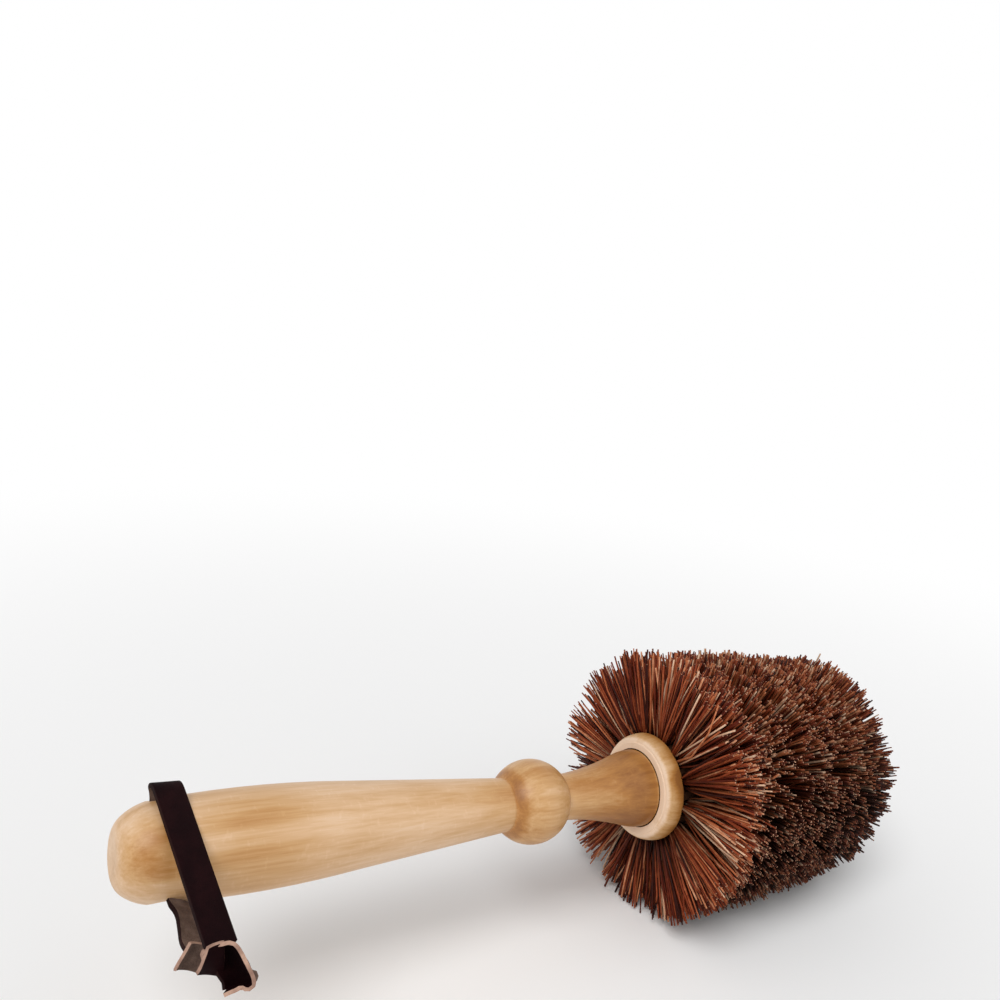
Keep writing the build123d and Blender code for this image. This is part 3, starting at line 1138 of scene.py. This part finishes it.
def row_fibres(row):
    """The fibres of one row: their points and their tones."""
    lines, tones = [], []
    front = row == 0
    shares = FRONT_SHARES if row < 2 else SIDE_SHARES
    ragged = 0.0022 if front else 0.0012
    scatter = 0.046 if front else 0.030
    count = FIBRES_IN_FRONT_TUFT if front else FIBRES_IN_TUFT
    for tuft in range(TUFTS_IN_ROW):
        centre = (row % 2) * math.pi / TUFTS_IN_ROW + tuft * math.tau / TUFTS_IN_ROW
        centre += shears.gauss(0, TUFT_TURN)
        tuft_tone = shears.gauss(0, TUFT_TONE)
        for (lengthwise, crosswise), lean, longer in in_bundles(count):
            root_reach = FIRST_ROW + row * ROW_PITCH + lengthwise * ROOT_ALONG + (0 if front else ROOT_SHIFT)
            root_angle = centre + crosswise * ROOT_ASIDE / BLOCK_RADIUS
            tip_reach = RIM_REACH + (row + 0.5) * TIP_PITCH + lengthwise * TIP_ALONG
            tip_reach = max(tip_reach + shears.gauss(0, TIP_JITTER), RIM_REACH + shears.gauss(0, RIM_JITTER))
            tip_angle = centre + crosswise * TIP_ASIDE + lean + shears.gauss(0, scatter)
            stray = shears.gauss(0, STRAY_BOW) if shears.random() < STRAY_CHANCE else 0.0
            tone = fibre_tone(tuft_tone)
            if front and shears.random() < CROSSING_CHANCE:
                tip_angle += shears.gauss(0, CROSSING_TURN)
                tip_reach += abs(shears.gauss(0, CROSSING_SHIFT))
                tone = min(tone + CROSSING_TONE, 1.0)
            length = shears.gauss(USUAL_LENGTH, ragged) + longer
            if stray:
                length += abs(shears.gauss(0, STRAY_LENGTH))
            root = around(root_reach, BLOCK_RADIUS - ROOT_DEPTH, root_angle)
            tip = lifted(tip_reach, clipped_radius(tip_reach) + min(length, LONGEST), tip_angle)
            lines.append(fibre_line(root, tip, stray, shares))
            tones.append(tone)
    return lines, tones


print("rows", ROWS, "with tips every", round(TIP_PITCH * 1000, 2), "mm")

# %% [markdown]
# The domed end of the block is drilled too, in three rings and one hole in the middle. Its tufts fan out
# until they meet the last row, and were clipped to the rounded end. They are drawn as the rows are, but
# a tip's place is a share of the way along the rounded profile, from its edge to the axis.

# %% The end's tufts
# For each ring: holes, radius of the holes, and how far along the profile its tips lie.
END_RINGS = ((12, 0.0188, 0.15), (9, 0.0125, 0.44), (5, 0.0062, 0.72), (1, 0.0, 0.97))
END_ROOT_DEPTH = 0.003
END_ROOT_ALONG, END_ROOT_ASIDE = 0.0030, 0.0032
END_TIP_ALONG, END_TIP_ASIDE = 0.17, 1.12
END_TUFT_TONE = 0.06
END_SHARE_JITTER, END_TURN_JITTER = 0.02, 0.04
END_RAGGED = 0.0013
END_STRAY_CHANCE, END_STRAY_BOW = 0.03, 0.003
MIDDLE_ROOT_RADIUS, MIDDLE_TIP_RADIUS = 0.003, 0.008


def end_fibres():
    """The fibres of the domed end, ring by ring."""
    lines, tones = [], []
    for count, ring_radius, middle in END_RINGS:
        for tuft in range(count):
            centre = (tuft + 0.5) * math.tau / count
            tuft_tone = shears.gauss(0, END_TUFT_TONE)
            for (lengthwise, crosswise), lean, longer in in_bundles(FIBRES_IN_TUFT):
                radius = max(ring_radius - lengthwise * END_ROOT_ALONG, 0.0)
                root_angle = centre + crosswise * END_ROOT_ASIDE / max(ring_radius, 0.004)
                reach = dome_centre + math.sqrt(dome_round**2 - radius**2) - END_ROOT_DEPTH
                share = middle + lengthwise * END_TIP_ALONG + shears.gauss(0, END_SHARE_JITTER)
                tip_reach, tip_radius = end_profile(min(max(share, 0.0), 1.0))
                tip_angle = centre + crosswise * END_TIP_ASIDE * math.pi / max(count, 3)
                tip_angle += shears.gauss(0, END_TURN_JITTER)
                if count == 1:
                    out = math.hypot(lengthwise, crosswise)
                    root_angle = tip_angle = math.atan2(crosswise, lengthwise)
                    radius, tip_radius = out * MIDDLE_ROOT_RADIUS, out * MIDDLE_TIP_RADIUS
                length = shears.gauss(0.0, END_RAGGED) + longer
                root = around(reach, radius, root_angle)
                tip = lifted(tip_reach, tip_radius, tip_angle)
                tip += (tip - root).normalized() * length
                stray = shears.gauss(0, END_STRAY_BOW) if shears.random() < END_STRAY_CHANCE else 0.0
                lines.append(fibre_line(root, tip, stray, SIDE_SHARES))
                tones.append(fibre_tone(tuft_tone))
    return lines, tones


print("holes in the end", sum(count for count, _, _ in END_RINGS))

# %% [markdown]
# There are thousands of fibres, so each has only fourteen faces: a small four-sided bevel on its line. A
# whole row is one curve object with more than a thousand lines, which is much quicker than a mesh or a
# modifier for each. The curve becomes a mesh, whose points come line by line and ring by ring, so the tone
# and the shade can be set from the lines. Then its open ends are filled: the tips' fillings are the cut
# ends. Fibres whose tips point up get less of the painted shade, as painted light from above.

# %% From lines to fibres
FIBRE_RADIUS = 0.00043
THINNEST, THICKEST = 0.75, 1.25
TAPER = (1.0, 1.0, 0.95, 0.8)
UPWARD_LIGHT = 0.62
UPWARD_LIGHT_FROM, UPWARD_LIGHT_RISE = 0.06, 0.05


def fibre_mesh(name, lines, thickness):
    """Bevels every line into a stiff fibre with open ends. Gives the mesh and its points per ring."""
    curve = bpy.data.curves.new(name, "CURVE")
    curve.dimensions = "3D"
    curve.bevel_depth = FIBRE_RADIUS * thickness
    curve.bevel_resolution = 0
    for points in lines:
        spline = curve.splines.new("POLY")
        spline.points.add(len(points) - 1)
        spline.points.foreach_set("co", [c for p in points for c in (*p, 1.0)])
        thick = shears.uniform(THINNEST, THICKEST)
        spline.points.foreach_set("radius", [thick * taper for taper in TAPER])
    source = bpy.data.objects.new(name, curve)
    bpy.context.collection.objects.link(source)
    mesh = finished_mesh(source)
    bpy.data.objects.remove(source)
    bpy.data.curves.remove(curve)
    rings = len(lines[0])
    sides = len(mesh.vertices) // (len(lines) * rings)
    places = np.array([v.co for v in mesh.vertices]).reshape(len(lines), rings, sides, 3)
    off_line = np.abs(places.mean(axis=2) - np.array(lines)).max()
    assert off_line < CLOSE, (name, off_line)
    return mesh, sides


def fibre_piece(name, lines, tones, shade, thickness=1.0):
    """The fibres of one row as a piece, with their tone and shade and their cut ends."""
    mesh, sides = fibre_mesh(name, lines, thickness)
    rings = len(lines[0])
    along = np.tile(np.repeat(np.linspace(0, 1, rings), sides), len(lines))
    # Tips that point up get less painted shade: painted light from above.
    heights = np.array([points[-1].z for points in lines])
    upward_light = UPWARD_LIGHT * np.clip((heights - UPWARD_LIGHT_FROM) / UPWARD_LIGHT_RISE, 0.0, 1.0)
    shades = np.outer(1 - upward_light, np.repeat(shade, sides)).ravel()
    for label, values in (("shade", shades), ("tone", np.repeat(tones, rings * sides))):
        attribute = mesh.attributes.new(label, "FLOAT", "POINT")
        attribute.data.foreach_set("value", values.astype(np.float32))
    bm = bmesh.new()
    bm.from_mesh(mesh)
    open_ends = [edge for edge in bm.edges if edge.is_boundary]
    bmesh.ops.holes_fill(bm, edges=open_ends, sides=sides)
    bmesh.ops.recalc_face_normals(bm, faces=bm.faces)
    bm.to_mesh(mesh)
    bm.free()
    piece = mesh_object(name, mesh, (palm_fibre, cut_end), smooth=False)
    ends = 0
    for face in mesh.polygons:
        if all(along[v] > 0.999 for v in face.vertices):
            face.material_index = 1
            ends += 1
        elif any(along[v] > 0.001 for v in face.vertices):
            face.use_smooth = True
    print(name, len(lines), "fibres,", sides, "sides,", ends, "cut ends")
    return piece


print("a fibre is", round(2000 * FIBRE_RADIUS, 2), "mm thick")

# %% [markdown]
# Now the rows are made, front to back, and then the end. The painted shade is given at a fibre's four
# points. In the front row the fibres show along their length, so they are painted dark only near the root.
# Further back the tufts hide each other from the light and little more than tips shows, so those are painted
# dark nearly to the end.

# %% The fibre head
FRONT_SHADE = (0.90, 0.50, 0.06, 0.0)
SIDE_SHADE = (1.0, 1.0, 0.97, 0.62)
FRONT_THICKNESS = 1.12

for row in range(ROWS):
    exposed = max(1.0 - row / 2, 0.0)
    shade = [front * exposed + side * (1 - exposed) for front, side in zip(FRONT_SHADE, SIDE_SHADE)]
    thickness = FRONT_THICKNESS if row == 0 else 1.0
    piece = fibre_piece(f"fibres_row_{row + 1}", *row_fibres(row), shade, thickness)
    belongs(piece, "brush", "palm_fibre", f"bristle_row_{row + 1}")
piece = fibre_piece("fibres_end", *end_fibres(), SIDE_SHADE)
belongs(piece, "brush", "palm_fibre", "bristle_end")

# %% [markdown]
# The brush lies on a plain pale floor. The floor has to keep the brush's shadow and yet end in white, so
# its material fades to plain white light with the distance, for the camera only. A floor that is simply
# white would need so much light that the brush itself would look washed out.

# %% Floor
FADE_START = 0.20
FADE_END = 0.90
FLOOR_SIZE = 6.0

floor_paint = bpy.data.materials.new("pale floor")
floor_paint.use_nodes = True
nodes = Nodes(floor_paint.node_tree)
shader = floor_paint.node_tree.nodes["Principled BSDF"]
shader.inputs["Base Color"].default_value = (0.96, 0.96, 0.96, 1.0)
shader.inputs["Roughness"].default_value = 0.9
shader.inputs["Specular IOR Level"].default_value = 0.1
glow = nodes.add("ShaderNodeEmission", Color=(1.0, 1.0, 1.0, 1.0), Strength=1.0)
distance = nodes.add("ShaderNodeVectorMath", operation="LENGTH")
nodes.link(nodes.add("ShaderNodeTexCoord").outputs["Object"], distance.inputs[0])
seen = nodes.add("ShaderNodeLightPath").outputs["Is Camera Ray"]
fade = nodes.math("MULTIPLY", nodes.between(distance.outputs["Value"], FADE_START, FADE_END), seen)
blend = nodes.add("ShaderNodeMixShader")
nodes.link(fade, blend.inputs[0])
nodes.link(shader.outputs[0], blend.inputs[1])
nodes.link(glow.outputs[0], blend.inputs[2])
nodes.link(blend.outputs[0], floor_paint.node_tree.nodes["Material Output"].inputs["Surface"])

floor_bm = bmesh.new()
bmesh.ops.create_grid(floor_bm, x_segments=1, y_segments=1, size=FLOOR_SIZE)
floor = as_object("floor", floor_bm, (floor_paint,), smooth=False)
print("floor", 2 * FLOOR_SIZE, "m wide")

# %% [markdown]
# The light is that of a studio with soft boxes: a broad lamp from above, a weaker one from the right, and
# pale light from all round. Area lamps would do, but suns with a wide disc give the same soft shadows
# wherever the brush is. The white behind it is only for the camera, for reflections and through clear
# things, so it puts no more light on the brush.

# %% Light and background
WORLD_LIGHT = 0.45


def soft_sun(name, direction, softness, strength):
    """A broad, even lamp: a sun with a wide disc, so its shadows are soft."""
    data = bpy.data.lights.new(name, "SUN")
    data.energy = strength
    data.angle = math.radians(softness)
    lamp = bpy.data.objects.new(name, data)
    bpy.context.collection.objects.link(lamp)
    lamp.rotation_euler = Vector(direction).to_track_quat("-Z", "Y").to_euler()
    print(name, strength)


soft_sun("key lamp", (0.75, 0.55, -1.25), 35, 1.55)
soft_sun("fill lamp", (-0.9, 0.9, -0.8), 60, 0.45)

world = bpy.data.worlds.new("studio")
bpy.context.scene.world = world
world.use_nodes = True
nodes = Nodes(world.node_tree)
seen = nodes.add("ShaderNodeLightPath")
white = nodes.math("MAXIMUM", seen.outputs["Is Camera Ray"], seen.outputs["Is Glossy Ray"])
white = nodes.math("MAXIMUM", white, seen.outputs["Is Transmission Ray"])
strength = nodes.math("ADD", nodes.math("MULTIPLY", white, 1.0 - WORLD_LIGHT), WORLD_LIGHT)
background = world.node_tree.nodes["Background"]
background.inputs["Color"].default_value = (1.0, 1.0, 1.0, 1.0)
nodes.link(strength, background.inputs["Strength"])
bpy.context.scene.view_settings.view_transform = "Standard"
